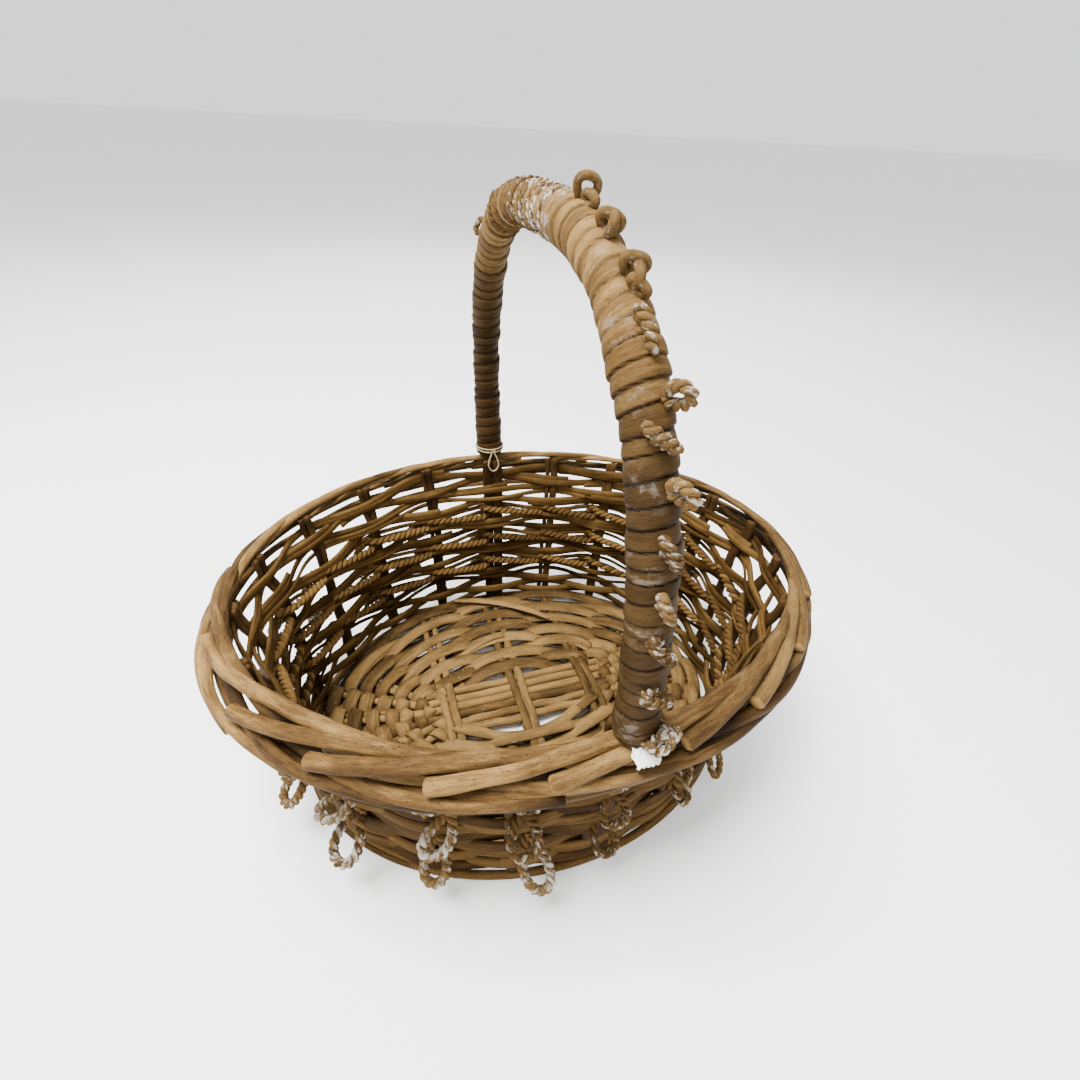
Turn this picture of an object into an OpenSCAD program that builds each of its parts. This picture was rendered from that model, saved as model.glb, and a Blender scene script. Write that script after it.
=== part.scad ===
// Oval fruit basket. A floor of sticks and woven strips, an open wall of stakes and weavers with
// three rope courses, a plaited border, and a hoop handle bound with flat cane.
// Millimetres, +Z up. The origin is the middle of the foot's underside, X runs along the basket,
// and the handle stands across it, over the Y axis.

/* [Basket] */
// Length of the opening, inside the border
rim_length = 330; // [270:5:420]
// Width of the opening, inside the border
rim_width = 257; // [210:1:330]
// Height of the border's top edge above the table
rim_height = 149; // [125:1:200]
// How much further out the wall stands at the top than at the foot, at each end
flare_x = 10.6; // [0:0.2:30]
// How much further out the wall stands at the top than at the foot, on each long side
flare_y = 4; // [0:0.2:30]

/* [Stakes and weavers] */
// Number of places around the wall, of which the handle's legs take two
stakes_n = 20; // [16:4:24]
// Diameter of a stake
stake_d = 6; // [4:0.2:7]
// Height of a weaver's flat section
weaver_h = 5.4; // [3:0.2:6]
// Thickness of a weaver's flat section
weaver_t = 3; // [2:0.2:3.6]
// Diameter of the twisted rope
rope_d = 5.6; // [3:0.2:6]
// Radius of a rope loop, to the middle of the rope
loop_r = 7.5; // [6:0.5:9]

/* [Floor] */
// Diameter of the sticks across the floor
cross_stick_d = 8.4; // [8:0.2:10]
// Diameter of the sticks along the floor
long_stick_d = 5.6; // [4.6:0.2:5.8]
// Number of sticks along the floor
long_sticks_n = 6; // [4:1:8]
// Distance between neighbouring long sticks
long_stick_pitch = 7; // [6.2:0.2:8]
// Distance from the middle cross stick to each outer pair
cross_pair_x = 54; // [40:1:62]
// Width of a floor strip
strip_w = 7.5; // [5:0.5:9]
// Thickness of a floor strip
strip_t = 2.3; // [1.6:0.1:2.6]
// Height of the foot ring
foot_h = 5.5; // [4:0.5:8]

/* [Border] */
// Diameter of a border rod
border_rod_d = 8.6; // [7:0.2:9]
// Half of the plait's width, between the middles of its outer rods
plait_half_w = 9.5; // [8:0.5:12]
// Crossings of the plait around the whole border
plait_turns = 10; // [8:1:12]
// Diameter of the rod that follows below the plait
follow_rod_d = 7; // [5:0.2:7]

/* [Handle] */
// Height of the handle's centre line at the crown
handle_top = 332; // [290:1:400]
// Radius of the bent hoop inside the binding
hoop_r = 7.4; // [6:0.2:8]
// Radius outside the cane binding
binding_r = 10; // [9.5:0.1:11]
// Squareness of the hoop's outline: 2 is an ellipse
hoop_power = 2.74; // [2:0.02:3.2]
// How far off the basket's middle the handle's feet stand, along the basket
foot_shift = 9; // [0:0.5:14]
// How far off the basket's middle the handle's crown stands
crown_shift = 2; // [0:0.5:14]
// Width of one flat lath of a handle leg
lath_w = 8; // [6:0.5:9]
// Thickness of a lath
lath_t = 4.6; // [3:0.2:5]
// Number of rope loops on each half of the handle
handle_loops_n = 11; // [6:1:12]

/* [Hidden] */
clearance = 0.2;
rim_a = rim_length / 2;
rim_b = rim_width / 2;
wall_inset = 4.4;
top_a = rim_a - wall_inset;
top_b = rim_b - wall_inset;
foot_a = top_a - flare_x;
foot_b = top_b - flare_y;

// The stakes are crowded towards +X so that two of their places fall under the handle's feet.
crowding = asin(foot_shift / top_a);
stake_step = 360 / stakes_n;
// A weaver swings from one side of a stake to the other.
weaver_swing = (stake_d + weaver_t) / 2 + 0.9;
rope_near = rope_d / 2 + clearance;
rope_swing = stake_d / 2 + 0.3;
loop_tilt = 50;
stake_top = rim_height - 8;

// Floor levels: the sticks share one middle plane, with the strips above and below it.
strips_low_z = 1.3;
stick_z = strips_low_z + strip_t + clearance + cross_stick_d / 2;
strips_high_z = stick_z + cross_stick_d / 2 + clearance;
floor_top = strips_high_z + strip_t;
foot_reach = 4.8;
floor_gap = weaver_swing + weaver_t / 2 + 0.6;
floor_a = foot_a - floor_gap;
floor_b = foot_b - floor_gap;
slot_h = long_stick_d + 2 * clearance;
slath_w = (long_sticks_n - 1) * long_stick_pitch + long_stick_d;
slath_a = cross_pair_x + 14;
slath_b = slath_w / 2 + 6;
floor_rows_n = 6;
pair_gap = 11;
loose_strip = [rim_length * 0.22, 7, 2];

// Wall levels: low rows, then a rope course between two rows three times, then high rows.
wall_low = foot_h + 6.5;
wall_high = rim_height - 18;
rope_pitch = (wall_high - wall_low) * 0.215;
rope_first = wall_low + (wall_high - wall_low) * 0.305;
row_below = 9.2;
row_above = 7.8;
end_row_pitch = 6.6;
rope_z = [for (k = [0 : 2]) rope_first + k * rope_pitch];
row_z = concat(
    [for (k = [0 : 2]) wall_low + k * end_row_pitch],
    [for (z = rope_z, side = [-row_below, row_above]) z + side],
    [for (k = [2 : -1 : 0]) wall_high - k * end_row_pitch]
);
rows_n = len(row_z);
row_points = 3;

// Border: the plait lies on a slope that falls outwards.
plait_slope = 47;
plait_lift = border_rod_d * 0.54;
plait_out = plait_half_w * cos(plait_slope) + border_rod_d / 2 - 0.3;
plait_z = rim_height - plait_half_w * sin(plait_slope) - border_rod_d / 2;
plait_gap = binding_r + border_rod_d / 2 + 0.5;
follow_out = plait_out + 3.4;
follow_z = plait_z - 15;

// Handle: the hoop stands in the border, and flat laths carry it down inside the wall.
hoop_b = rim_b + 6.4;
hoop_foot = rim_height - 12;
lath_low = foot_h;
lath_high = rim_height - 1;
lath_top_y = hoop_b - hoop_r - lath_t / 2 - clearance / 2;
hoop_points = 36;
cane_gap = 0.2;
small_rope_d = 3.6;
handle_loop_r = 5.5;
knot_z = rim_height + 5;
string_d = 1;
string_z = rim_height + 4;
tape_size = [10, 8, 0.5];

// ---- geometry helpers -------------------------------------------------------

function unit(v) = v / norm(v);

// Half axes of the wall's middle surface at height z.
function wall_a(z) = foot_a + (top_a - foot_a) * z / rim_height;
function wall_b(z) = foot_b + (top_b - foot_b) * z / rim_height;

// A point of an oval with half axes a and b, moved outwards along the oval's normal.
function oval_point(a, b, t, out, z) =
    let (n = unit([cos(t) / a, sin(t) / b]))
    [a * cos(t) + out * n[0], b * sin(t) + out * n[1], z];

// Where a place t of the weave lies on the oval.
function crowded(t) = t - crowding * sin(t);

function wall_point(t, z, out) = oval_point(wall_a(z), wall_b(z), crowded(t), out, z);

function round_section(r, n) = [for (k = [0 : n - 1]) r * [cos(360 * k / n), sin(360 * k / n)]];
function flat_section(w, h) = [[w, -h] / 2, [w, h] / 2, [-w, h] / 2, [-w, -h] / 2];
function oval_outline(a, b, n = 64) = [for (k = [0 : n - 1]) [a * cos(360 * k / n), b * sin(360 * k / n)]];

// Direction of a path at point i, from its neighbours.
function heading(path, i, closed) =
    let (n = len(path))
    let (before = closed ? (i + n - 1) % n : max(i - 1, 0))
    let (after = closed ? (i + 1) % n : min(i + 1, n - 1))
    unit(path[after] - path[before]);

// The section's points at every point of the path, with its second axis kept near `up`.
function swept_points(path, section, up, closed) = [
    for (i = [0 : len(path) - 1])
        let (ahead = heading(path, i, closed), side = unit(cross(ahead, up)), rise = cross(side, ahead))
        for (c = section) path[i] + c[0] * side + c[1] * rise
];

// Two triangles for each step along the path and each side of the section.
function swept_walls(n, m, closed, start = 0, inward = false) = [
    for (i = [0 : closed ? n - 1 : n - 2], j = [0 : m - 1])
        let (a = start + i * m + j, b = start + i * m + (j + 1) % m)
        let (d = start + ((i + 1) % n) * m + j, c = start + ((i + 1) % n) * m + (j + 1) % m)
        each (inward ? [[a, b, c], [a, c, d]] : [[a, c, b], [a, d, c]])
];

// A section carried along a path: a closed ring, or a rod with flat ends.
module swept(path, section, up = [0, 0, 1], closed = false) {
    n = len(path);
    m = len(section);
    caps = closed ? [] : [[for (j = [0 : m - 1]) j], [for (j = [m - 1 : -1 : 0]) (n - 1) * m + j]];
    polyhedron(swept_points(path, section, up, closed), concat(swept_walls(n, m, closed), caps));
}

// A hollow sleeve along an open path.
module sleeve(path, outer, inner, up) {
    n = len(path);
    m = len(outer);
    walls = concat(swept_walls(n, m, false), swept_walls(n, m, false, n * m, true));
    ends = [for (j = [0 : m - 1])
        let (k = (j + 1) % m, last = (n - 1) * m, bore = n * m)
        each [[j, k, bore + k], [j, bore + k, bore + j],
              [last + k, last + j, bore + last + j], [last + k, bore + last + j, bore + last + k]]];
    points = concat(swept_points(path, outer, up, false), swept_points(path, inner, up, false));
    polyhedron(points, concat(walls, ends));
}

// A round stick between two points.
module stick(from, to, d) {
    v = to - from;
    translate(from) rotate([0, acos(v[2] / norm(v)), atan2(v[1], v[0])])
        cylinder(h = norm(v), d = d, $fn = 24);
}

module torus(r, d) {
    rotate_extrude($fn = 48) translate([r, 0]) circle(d = d, $fn = 16);
}

// A flat ring with an oval outline.
module oval_band(a, b, w, h, z) {
    translate([0, 0, z]) linear_extrude(h) difference() {
        polygon(oval_outline(a, b));
        polygon(oval_outline(a - w, b - w));
    }
}

// ---- floor ------------------------------------------------------------------

module foot_ring() {
    color("saddlebrown") oval_band(foot_a + foot_reach, foot_b + foot_reach, foot_h, foot_h, 0);
}

cross_stick_x = [
    -cross_pair_x - pair_gap / 2, -cross_pair_x + pair_gap / 2, 0,
    cross_pair_x - pair_gap / 2, cross_pair_x + pair_gap / 2
];

// Each cross stick is split, and the long sticks pass through the slot.
module base_cross_sticks() {
    color("peru") difference() {
        for (x = cross_stick_x) {
            half = floor_b * sqrt(1 - pow(x / floor_a, 2)) - 2;
            stick([x, -half, stick_z], [x, half, stick_z], cross_stick_d);
        }
        translate([-slath_a, -slath_w / 2 - clearance, stick_z - slot_h / 2])
            cube([2 * slath_a, slath_w + 2 * clearance, slot_h]);
    }
}

// A long stick runs straight through the cross sticks and then fans out to the wall.
function long_stick_path(offset) = [
    for (k = [-9 : 9])
        let (s = k / 9, reach = max(0, (abs(s) * floor_a - slath_a) / (floor_a - slath_a)))
        let (spread = 1 + 3.4 * pow(reach, 1.3))
        let (end = sqrt(1 - pow(min(0.95, offset * 4.4 / floor_b), 2)))
        [s * floor_a * end * 0.985, offset * spread, stick_z]
];

module base_long_sticks() {
    color("peru") for (k = [0 : long_sticks_n - 1]) {
        offset = (k - (long_sticks_n - 1) / 2) * long_stick_pitch;
        swept(long_stick_path(offset), round_section(long_stick_d / 2, 6));
    }
}

// Odd rows lie on the sticks and even rows under them.
module base_strip_row(k) {
    share = (k - 0.5) / floor_rows_n;
    a = slath_a + (floor_a - slath_a) * share;
    b = slath_b + (floor_b - slath_b) * share;
    z = k % 2 == 1 ? strips_high_z : strips_low_z;
    color("burlywood") oval_band(a + strip_w / 2, b + strip_w / 2, strip_w, strip_t, z);
}

module loose_base_strip() {
    half = loose_strip / 2;
    place = [rim_length * 0.05, floor_b * 0.8, floor_top + clearance];
    color("tan") translate(place) rotate([0, 0, -15]) linear_extrude(loose_strip[2])
        polygon([
            [-half[0], -half[1] * 0.6], [half[0] * 0.2, -half[1]], [half[0], -half[1] * 0.4],
            [half[0], half[1] * 0.6], [half[0] * 0.2, half[1]], [-half[0], half[1] * 0.4]
        ]);
}

// ---- wall -------------------------------------------------------------------

module stakes() {
    color("sienna") for (k = [0 : stakes_n - 1]) {
        t = k * stake_step;
        if (k % (stakes_n / 2) != stakes_n / 4)
            stick(wall_point(t, foot_h, 0), wall_point(t, stake_top, 0), stake_d);
    }
}

// How far out the middle of a row stands to clear the laths of a handle leg, at height z.
// `sag` makes up for the row's straight steps across the width of the laths.
function leg_clear(z) =
    let (share = (z - lath_low) / (lath_high - lath_low))
    let (lath_y = wall_b(lath_low) + share * (lath_top_y - wall_b(lath_low)))
    let (sag = lath_w / 2 * sin(stake_step / row_points))
    lath_y - wall_b(z) + (lath_t + weaver_t) / 2 + sag + 2 * clearance;

// Place of a row across the wall; over a leg it keeps out by at least leg_clear.
function row_out(t, z, side) =
    let (out = side * weaver_swing * cos(stakes_n / 2 * t))
    let (over_leg = out > 0 && abs(cos(t)) < sin(1.05 * stake_step / row_points))
    over_leg ? max(out, leg_clear(z)) : out;

// A weaver passes outside one stake and inside the next, the other way about from row to row.
module wall_row(k) {
    side = k % 2 == 0 ? 1 : -1;
    points = row_points * stakes_n;
    path = [for (i = [0 : points - 1])
        let (t = 360 * i / points)
        wall_point(t, row_z[k - 1], row_out(t, row_z[k - 1], side))];
    color("peru") swept(path, flat_section(weaver_t, weaver_h), closed = true);
}

// The rope stays inside the stakes and comes out to the wall's middle between them.
module rope_course(k) {
    points = 4 * stakes_n;
    path = [for (i = [0 : points - 1])
        let (t = 360 * i / points)
        wall_point(t, rope_z[k - 1], -rope_near - rope_swing * (1 + cos(stakes_n * t)) / 2)];
    color("darkgoldenrod") swept(path, round_section(rope_d / 2, 5), closed = true);
}

// Between each two stakes the rope is drawn out through the wall as a hanging loop.
module rope_loops(k) {
    reach = rope_near + loop_r * sin(loop_tilt);
    drop = loop_r * cos(loop_tilt);
    color("wheat") for (i = [0 : stakes_n - 1]) {
        t = (i + 0.5) * stake_step;
        wall = wall_point(t, rope_z[k - 1], 0);
        p = wall_point(t, rope_z[k - 1], reach) - [0, 0, drop];
        translate(p) rotate([0, 0, atan2(p[1] - wall[1], p[0] - wall[0])]) rotate([0, 90 - loop_tilt, 0])
            torus(loop_r, rope_d);
    }
}

// ---- border -----------------------------------------------------------------

// One of the plait's three strands: it swings across the slope once a turn and over and under twice.
function plait_point(t, strand) =
    let (turn = plait_turns * (t + 90) + 120 * strand)
    let (across = plait_half_w * sin(turn), over = plait_lift * sin(2 * turn))
    let (out = plait_out + across * cos(plait_slope) + over * sin(plait_slope))
    oval_point(rim_a, rim_b, crowded(t), out, plait_z - across * sin(plait_slope) + over * cos(plait_slope));

// A strand runs from one foot of the handle to the other, on both ends of the basket.
module border_plait(strand) {
    gap = plait_gap / (rim_a + plait_out) * 180 / PI;
    span = 180 - 2 * gap;
    steps = round(span / 360 * plait_turns * 8);
    color("burlywood") for (half = [0, 180])
        swept([for (i = [0 : steps]) plait_point(half - 90 + gap + span * i / steps, strand)],
            round_section(border_rod_d / 2, 6));
}

module border_follow_rod() {
    points = 64;
    path = [for (i = [0 : points - 1]) oval_point(rim_a, rim_b, 360 * i / points, follow_out, follow_z)];
    color("burlywood") swept(path, round_section(follow_rod_d / 2, 6), closed = true);
}

// ---- handle -----------------------------------------------------------------

// The hoop's outline across the basket; s runs from -1 at the near foot through 0 at the crown to 1.
function hoop_point(s) =
    let (q = 90 * sign(s) * pow(abs(s), hoop_power / 2), rise = pow(max(cos(q), 0), 2 / hoop_power))
    [foot_shift + (crown_shift - foot_shift) * rise,
        hoop_b * sign(s) * pow(abs(sin(q)), 2 / hoop_power),
        rim_height + (handle_top - rim_height) * rise];

function hoop_path(from, to, n) = [for (i = [0 : n]) hoop_point(from + (to - from) * i / n)];

// Upwards direction square to the hoop at s.
function hoop_normal(s) =
    let (ahead = unit(hoop_point(min(s + 0.01, 1)) - hoop_point(max(s - 0.01, -1))))
    [0, -ahead[2], ahead[1]];

module handle_hoop() {
    near_foot = [foot_shift, -hoop_b, hoop_foot];
    far_foot = [foot_shift, hoop_b, hoop_foot];
    path = concat([near_foot], hoop_path(-1, 1, hoop_points), [far_foot]);
    color("sienna") swept(path, round_section(hoop_r, 8), [1, 0, 0]);
}

// Two laths side by side inside the wall under each foot of the hoop.
module handle_leg_laths() {
    height = lath_high - lath_low;
    color("sienna") for (side = [-1, 1], x = [-1, 1]) {
        from_y = wall_b(lath_low);
        lean = atan2(lath_top_y - from_y, height);
        foot = [foot_shift + x * (lath_w + clearance) / 2, side * from_y, lath_low];
        translate(foot) rotate([-side * lean, 0, 0])
            translate([-lath_w / 2, -lath_t / 2, lath_t / 2 * sin(lean)])
                cube([lath_w, lath_t, height / cos(lean) - lath_t]);
    }
}

module handle_binding() {
    color("tan") sleeve(hoop_path(-1, 1, hoop_points),
        round_section(binding_r, 8), round_section(hoop_r + cane_gap, 8), [1, 0, 0]);
}

// Rope wound around the binding beside the crown.
module handle_crown_rope() {
    color("linen") sleeve(hoop_path(0.02, 0.34, 8),
        round_section(binding_r + 2.4, 8), round_section(binding_r + cane_gap, 8), [1, 0, 0]);
}

// Small rope loops stand on the outside of the hoop, square to it.
module handle_loops() {
    lift = binding_r + handle_loop_r + small_rope_d / 2 + clearance;
    color("wheat") for (half = [-1, 1], i = [1 : handle_loops_n]) {
        s = half * (i - 0.4) / (handle_loops_n + 0.6);
        crown = half > 0 && s < 0.36 ? 2.6 : 0;
        n = hoop_normal(s);
        translate(hoop_point(s) + (lift + crown) * n)
            rotate([atan2(n[2], n[1]) - 90, 0, 0]) rotate([90, 0, 0]) torus(handle_loop_r, small_rope_d);
    }
}

// Rope tied around the near foot, just above the border.
module handle_foot_knot() {
    color("linen") translate([foot_shift, -hoop_b, knot_z])
        torus(binding_r + small_rope_d / 2 + clearance, small_rope_d);
}

module string_wrap() {
    color("ivory") translate([foot_shift, hoop_b, string_z])
        torus(binding_r + string_d / 2 + clearance / 2, string_d);
}

// Half of the hanging loop, from the knot down to its lowest point: [sideways, forwards, down].
string_half = [
    [0.7, 0, 0], [1.6, 0.8, 2.4], [2.8, 1.4, 5], [3.7, 1.9, 7.8], [4, 2.2, 10.6], [3.2, 2.4, 13.2], [1.8, 2.5, 15]
];
string_route = concat(
    [for (p = string_half) [-p[0], -p[1], -p[2]]],
    [[0, -2.5, -15.7]],
    [for (k = [len(string_half) - 1 : -1 : 0]) [string_half[k][0], -string_half[k][1], -string_half[k][2]]]
);

module hanging_string() {
    knot = [foot_shift, hoop_b - binding_r - 1.8, string_z];
    color("ivory") swept([for (p = string_route) knot + p], round_section(string_d / 2, 8), [0, 1, 0]);
}

module tape_scrap() {
    corner = [foot_shift - tape_size[0] * 0.4, -hoop_b - binding_r - 6, rim_height + 1];
    color("whitesmoke") translate(corner) rotate([-40, 0, 12]) cube(tape_size);
}

// ---- nodes ------------------------------------------------------------------

foot_ring();
base_cross_sticks();
base_long_sticks();
for (k = [1 : floor_rows_n]) base_strip_row(k);
loose_base_strip();
stakes();
for (k = [1 : rows_n]) wall_row(k);
for (k = [1 : 3]) rope_course(k);
for (k = [1 : 3]) rope_loops(k);
for (k = [1 : 3]) border_plait(k);
border_follow_rod();
handle_hoop();
handle_leg_laths();
handle_binding();
handle_crown_rope();
handle_loops();
handle_foot_knot();
string_wrap();
hanging_string();
tape_scrap();
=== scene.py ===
"""An oval fruit basket: split willow woven round dark stakes, three courses of twisted rope drawn out
into hanging loops, a rolled border of thick rods, a woven floor, and a tall hoop handle bound with cane.

Lengths are metres. `place` is an angle round the basket at which the weave repeats, in radians: the
stakes stand at its even steps, and it is 0 at the +X end and a quarter turn at the handle's far foot.
"""
import math

import bpy
import numpy as np
from mathutils import Matrix, Vector


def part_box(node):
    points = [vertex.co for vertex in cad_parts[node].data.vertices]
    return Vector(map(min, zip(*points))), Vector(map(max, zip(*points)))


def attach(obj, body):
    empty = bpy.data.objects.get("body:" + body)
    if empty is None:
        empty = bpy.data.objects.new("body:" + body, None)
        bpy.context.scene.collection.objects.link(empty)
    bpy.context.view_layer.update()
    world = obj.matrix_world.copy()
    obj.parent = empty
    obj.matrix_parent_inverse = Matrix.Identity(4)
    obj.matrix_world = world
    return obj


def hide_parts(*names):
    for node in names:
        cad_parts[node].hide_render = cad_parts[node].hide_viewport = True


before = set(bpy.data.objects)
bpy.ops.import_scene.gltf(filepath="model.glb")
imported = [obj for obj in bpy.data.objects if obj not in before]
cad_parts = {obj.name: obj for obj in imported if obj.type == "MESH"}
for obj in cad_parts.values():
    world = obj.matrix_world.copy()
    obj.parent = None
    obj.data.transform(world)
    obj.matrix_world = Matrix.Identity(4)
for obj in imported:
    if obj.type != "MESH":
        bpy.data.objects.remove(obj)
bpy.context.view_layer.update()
dice = np.random.default_rng(23)
MM = 0.001
TURN = 2 * math.pi


# ---- sizes read from the frame ------------------------------------------------------------------

def middle(node, axis):
    """Middle of a CAD node's box along one axis."""
    low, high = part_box(node)
    return (low[axis] + high[axis]) / 2


STAKES = 20
ROWS = 12
ROPES = 3
STAKE_R = 3.0 * MM
# From the wall's middle to the outer face of a CAD row where it passes a stake.
ROW_REACH = STAKE_R + 3.9 * MM
WALL_REACH = 145 * MM       # about how far the wall is from the middle of the basket
RIM_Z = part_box("handle_binding")[0].z
RIM_INSET = 4.4 * MM        # from the border's inner edge to the wall's middle
FLOOR_STRIP = 7.5 * MM
LEG_X = middle("string_wrap", 0)
LEG_Y = middle("string_wrap", 1)
row_z = [middle(f"wall_row_{k}", 2) for k in range(1, ROWS + 1)]
rope_z = [middle(f"rope_course_{k}", 2) for k in range(1, ROPES + 1)]
long_ends = [(row_z[k - 1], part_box(f"wall_row_{k}")[1].x - ROW_REACH) for k in (2, ROWS)]
wide_ends = [(row_z[k - 1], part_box(f"wall_row_{k}")[1].y - ROW_REACH) for k in (1, ROWS - 1)]


def on_line(ends, z):
    """Value at height z on the straight line through two (z, value) ends."""
    (z0, value0), (z1, value1) = ends
    return value0 + (z - z0) * (value1 - value0) / (z1 - z0)


CROWDING = math.asin(LEG_X / on_line(long_ends, RIM_Z))


# ---- arithmetic on paths ------------------------------------------------------------------------

def unit(v):
    """Vectors scaled to length one along the last axis."""
    return v / np.maximum(np.linalg.norm(v, axis=-1, keepdims=True), 1e-12)


def smooth(x):
    """Smooth step 3x² − 2x³, held at 0 and 1 outside."""
    x = np.clip(x, 0, 1)
    return x * x * (3 - 2 * x)


def wander(x, size, waves=(2, 3, 5, 8, 13)):
    """Seeded drift: the sum of sin(n·x + phase) over whole numbers n, so that it closes over a turn."""
    total = sum(dice.normal() * np.sin(n * x + dice.uniform(0, TURN)) for n in waves)
    return size * total / math.sqrt(len(waves))


def on_wall(place, z, out=0.0):
    """Oval a(z)·cos t, b(z)·sin t with t = place − crowding·sin(place), moved out along its normal."""
    place, z, out = np.broadcast_arrays(np.asarray(place, float), z, out)
    t = place - CROWDING * np.sin(place)
    a, b = on_line(long_ends, z), on_line(wide_ends, z)
    normal = unit(np.stack((np.cos(t) / a, np.sin(t) / b), -1))
    return np.stack((a * np.cos(t) + out * normal[..., 0], b * np.sin(t) + out * normal[..., 1], z), -1)


def at_rim(place, out, z):
    """As on_wall, with `out` measured from the border's inner edge and the oval taken at the rim."""
    points = on_wall(place, RIM_Z, RIM_INSET + out)
    points[..., 2] = z
    return points


def lean_out(z):
    """How far the stakes and the top weavers bend outwards to run in under the border."""
    return 6.5 * MM * smooth((z - RIM_Z + 37 * MM) / (22 * MM))


def outwards(place):
    """Level direction that points out of the wall."""
    step = on_wall(place, RIM_Z, 1.0) - on_wall(place, RIM_Z)
    return step * (1, 1, 0)


def headings(path):
    """Unit tangents, from each point's two neighbours."""
    return unit(np.gradient(path, axis=0))


def lengths(path):
    """Distance travelled along the path at each of its points."""
    return np.concatenate(([0.0], np.cumsum(np.linalg.norm(np.diff(path, axis=0), axis=1))))


def even(path, step, *others):
    """The path, and arrays that go with it, taken again at equal distances of about `step`."""
    gone = lengths(path)
    at = np.linspace(0, gone[-1], max(int(round(gone[-1] / step)), 3) + 1)
    taken = [np.stack([np.interp(at, gone, column) for column in np.asarray(a, float).T], -1)
             for a in (path, *others)]
    return taken[0] if not others else taken


def curve(points, count=80):
    """Catmull-Rom curve through a short list of points."""
    p = np.asarray(points, float)
    p = np.vstack((2 * p[0] - p[1], p, 2 * p[-1] - p[-2]))
    at = np.linspace(0, len(points) - 1 - 1e-9, count)
    i, f = at.astype(int), (at % 1)[:, None]
    a, b, c, d = (p[i + k] for k in range(4))
    return b + f / 2 * (c - a + f * (2 * a - 5 * b + 4 * c - d + f * (3 * (b - c) + d - a)))


# ---- meshes -------------------------------------------------------------------------------------

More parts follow.
